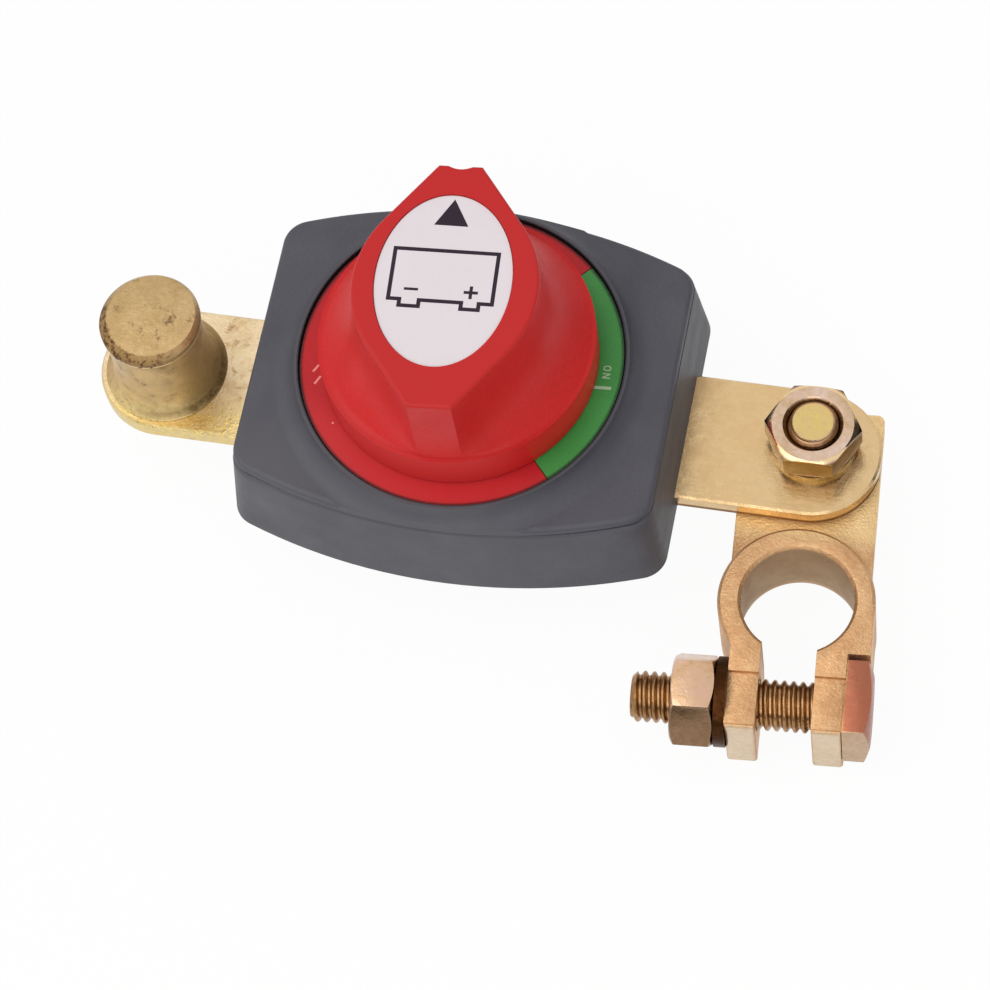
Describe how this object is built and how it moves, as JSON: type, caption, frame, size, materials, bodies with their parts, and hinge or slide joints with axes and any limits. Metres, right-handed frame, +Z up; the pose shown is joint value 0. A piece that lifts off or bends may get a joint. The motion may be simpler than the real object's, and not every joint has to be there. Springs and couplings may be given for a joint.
{
  "type": "battery disconnect switch",
  "caption": "Rotary battery isolator: drafted housing with round lip, lens-shaped knob over a dial, flat terminal bars, a flared battery post and a swivelling post clamp with pinch bolt.",
  "frame": {"origin": "middle of the housing's flat underside, on the knob's axis", "axes": "+Z up along the knob's axis, +X along the terminal bars towards the clamp, the clamp's ears face -Y"},
  "size_m": [0.129, 0.0769, 0.0561],
  "materials": {
    "housing_plastic": "fine satin moulded",
    "dial_red": "satin printed",
    "sector_green": "satin printed",
    "knob_red": "satin moulded",
    "label_print": "printed film",
    "rotor_plastic": "moulded",
    "seal_rubber": "matte",
    "contact_copper": "bright",
    "spring_steel": "drawn",
    "zinc_steel": "plated",
    "bar_brass": "rolled, slightly worn",
    "post_brass": "turned, slightly worn",
    "clamp_brass": "cast",
    "nut_brass": "machined",
    "bolt_copper": "dark, copper washed"
  },
  "bodies": {
    "switch": {"housing_body": "housing_plastic", "housing_cover": "housing_plastic", "housing_screws": "zinc_steel", "dial_plate": "dial_red", "on_sector": "sector_green", "left_bar": "bar_brass", "right_bar": "bar_brass", "contact_tips": "contact_copper", "battery_post": "post_brass", "terminal_bolt": "nut_brass", "terminal_nut": "nut_brass"},
    "knob_group": {"knob": "knob_red", "knob_label": "label_print", "knob_screw": "zinc_steel", "rotor": "rotor_plastic", "shaft_seal": "seal_rubber", "contact_bridge": "contact_copper", "contact_spring": "spring_steel"},
    "clamp_group": {"clamp": "clamp_brass", "pinch_bolt": "bolt_copper", "spring_washer": "bolt_copper", "pinch_nut": "bolt_copper"}
  },
  "joints": [
    {"name": "knob_turn", "type": "hinge", "parent": "switch", "child": "knob_group", "pos_m": [0, 0, 0], "axis": [0, 0, 1], "range_deg": [-94.5, 0]},
    {"name": "clamp_swivel", "type": "hinge", "parent": "switch", "child": "clamp_group", "pos_m": [0.0535, 0.0015, 0], "axis": [0, 0, 1], "range_deg": [-10, 170]}
  ]
}
